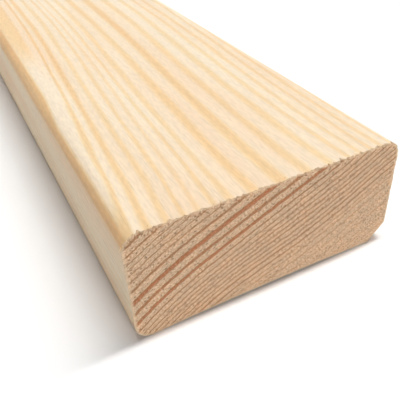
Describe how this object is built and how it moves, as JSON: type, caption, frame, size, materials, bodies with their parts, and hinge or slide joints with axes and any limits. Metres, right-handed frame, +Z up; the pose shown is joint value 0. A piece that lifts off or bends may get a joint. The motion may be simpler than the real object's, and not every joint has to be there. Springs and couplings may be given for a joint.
{
  "type": "timber plank",
  "caption": "Straight planed softwood plank of rectangular section with eased long edges and square-sawn ends, used as studwork, framing and general building stock.",
  "frame": {"origin": "middle of the underside, half way along the length", "axes": "+X along the grain towards the sawn end that the picture shows, +Y across the width, +Z up through the thickness"},
  "size_m": [2.4, 0.089, 0.038],
  "materials": {
    "planed_softwood": "planed bare on the long faces, fine-sawn on the ends, untreated and unvarnished"
  },
  "bodies": {
    "root": {"plank": "planed_softwood"}
  },
  "joints": []
}
